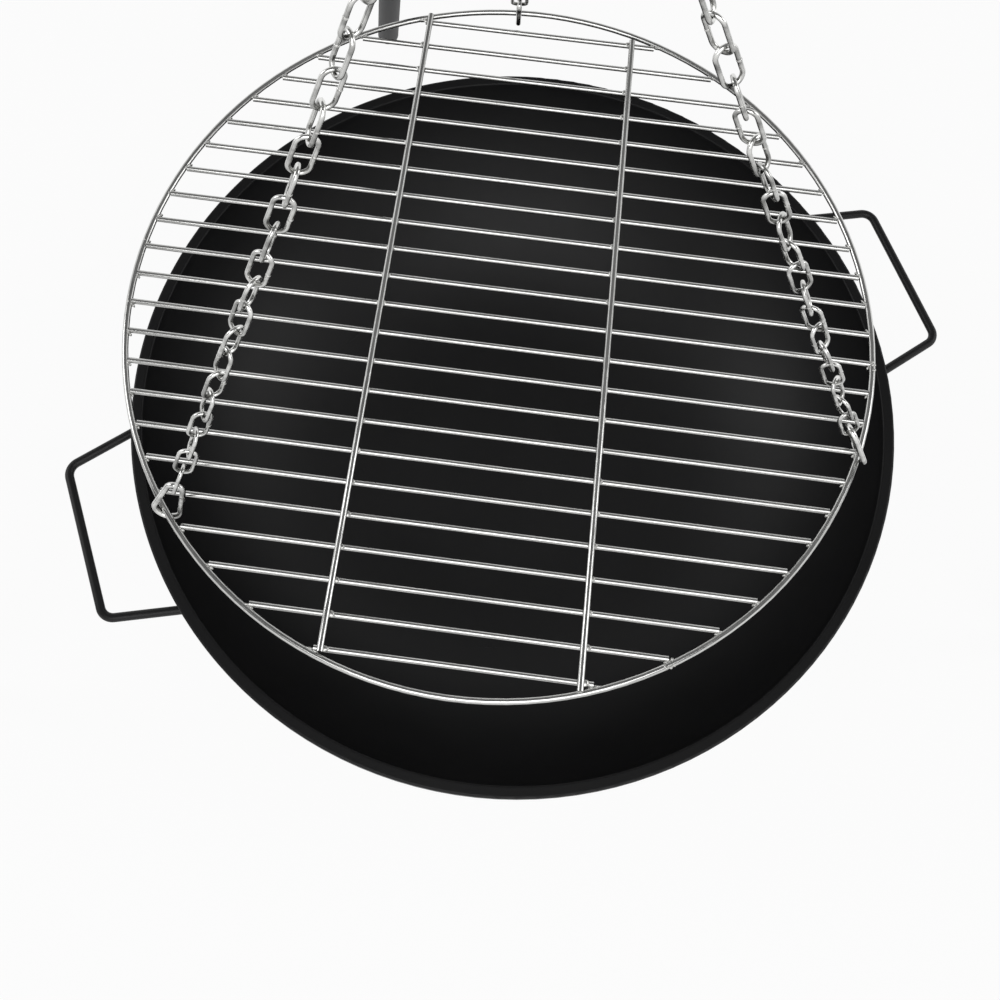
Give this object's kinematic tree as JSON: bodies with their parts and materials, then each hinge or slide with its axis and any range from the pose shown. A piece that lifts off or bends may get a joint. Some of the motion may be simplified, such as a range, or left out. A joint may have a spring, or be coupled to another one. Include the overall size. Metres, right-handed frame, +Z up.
{
  "type": "tripod fire bowl",
  "caption": "Tripod swing grill: a round wire grate hung on chains from a folding tripod above a dished steel fire bowl with rod handles.",
  "frame": {"origin": "middle of the footprint, on the ground", "axes": "+Z up, +X to the right of someone who stands in front of the bowl, +Y away from them"},
  "size_m": [1.094, 0.9091, 1.7154],
  "materials": {
    "zinc": "bright zinc plating",
    "bowl_paint": "satin black",
    "leg_paint": "satin dark grey",
    "cap_plastic": "matte dark grey"
  },
  "bodies": {
    "head": {"head_plate": "leg_paint", "leg_bracket_back": "leg_paint", "leg_bracket_left": "leg_paint", "leg_bracket_right": "leg_paint", "bracket_bolts": "zinc", "bracket_nuts": "zinc", "pivot_bolts": "zinc", "pivot_nuts": "zinc", "stop_pins": "zinc", "eye_bolt": "zinc", "eye_bolt_nuts": "zinc"},
    "hook": {"hanging_hook": "zinc"},
    "upper_chain": {"main_chain": "zinc"},
    "hung_grate": {"gathering_ring": "zinc", "grate_chain_left": "zinc", "grate_chain_right": "zinc", "grate_chain_back": "zinc", "carabiner_left_frame": "zinc", "carabiner_right_frame": "zinc", "carabiner_back_frame": "zinc", "carabiner_rivets": "zinc", "grate_ring": "zinc", "grate_bars": "zinc", "grate_cross_bar_left": "zinc", "grate_cross_bar_right": "zinc"},
    "fire_bowl": {"bowl": "bowl_paint", "bowl_handle_left": "bowl_paint", "bowl_handle_right": "bowl_paint", "bowl_foot_front": "bowl_paint", "bowl_foot_left": "bowl_paint", "bowl_foot_right": "bowl_paint"},
    "leg_back": {"leg_back_top_cap": "cap_plastic", "leg_back_upper_tube": "leg_paint", "leg_back_coupler": "zinc", "leg_back_lower_tube": "leg_paint", "leg_back_foot_cap": "cap_plastic"},
    "leg_left": {"leg_left_top_cap": "cap_plastic", "leg_left_upper_tube": "leg_paint", "leg_left_coupler": "zinc", "leg_left_lower_tube": "leg_paint", "leg_left_foot_cap": "cap_plastic"},
    "leg_right": {"leg_right_top_cap": "cap_plastic", "leg_right_upper_tube": "leg_paint", "leg_right_coupler": "zinc", "leg_right_lower_tube": "leg_paint", "leg_right_foot_cap": "cap_plastic"},
    "gate_back": {"carabiner_back_gate": "zinc"},
    "gate_left": {"carabiner_left_gate": "zinc"},
    "gate_right": {"carabiner_right_gate": "zinc"}
  },
  "joints": [
    {"name": "leg_back_fold", "type": "hinge", "parent": "head", "child": "leg_back", "pos_m": [-0.04312, -0.0656, 1.6644], "axis": [-0.9489, -0.3156, 0], "range_deg": [0, 3.5]},
    {"name": "leg_left_fold", "type": "hinge", "parent": "head", "child": "leg_left", "pos_m": [-0.0666, -0.12581, 1.6644], "axis": [0.4848, -0.8746, 0], "range_deg": [0, 3.5]},
    {"name": "leg_right_fold", "type": "hinge", "parent": "head", "child": "leg_right", "pos_m": [0.01121, -0.11418, 1.6644], "axis": [0.2079, 0.9781, 0], "range_deg": [0, 3.5]},
    {"name": "hook_swing", "type": "hinge", "parent": "head", "child": "hook", "pos_m": [-0.02987, -0.10545, 1.6462], "axis": [0, -1, 0], "range_deg": [-3, 3]},
    {"name": "chain_swing", "type": "hinge", "parent": "hook", "child": "upper_chain", "pos_m": [-0.02987, -0.10545, 1.60125], "axis": [1, 0, 0], "range_deg": [-3, 3]},
    {"name": "grate_turn", "type": "hinge", "parent": "upper_chain", "child": "hung_grate", "pos_m": [-0.02987, -0.10545, 1.1202], "axis": [0, 0, 1], "range_deg": [-12, 12]},
    {"name": "gate_back_open", "type": "hinge", "parent": "hung_grate", "child": "gate_back", "pos_m": [-0.04172, 0.18959, 0.4477], "axis": [-0.9992, -0.0401, 0], "range_deg": [0, 22], "stiffness_Nm_per_rad": 0.05, "springref_deg": -11.46},
    {"name": "gate_left_open", "type": "hinge", "parent": "hung_grate", "child": "gate_left", "pos_m": [-0.25053, -0.28472, 0.44285], "axis": [0.0753, 0.9543, -0.2892], "range_deg": [0, 22], "stiffness_Nm_per_rad": 0.05, "springref_deg": -11.46},
    {"name": "gate_right_open", "type": "hinge", "parent": "hung_grate", "child": "gate_right", "pos_m": [0.24466, -0.18055, 0.44293], "axis": [-0.8432, -0.4506, -0.2931], "range_deg": [0, 22], "stiffness_Nm_per_rad": 0.05, "springref_deg": -11.46},
    {"name": "bowl_slide", "type": "slide", "parent": "head", "child": "fire_bowl", "axis": [0.1478, -0.989, 0], "range_m": [0, 0.9]}
  ]
}
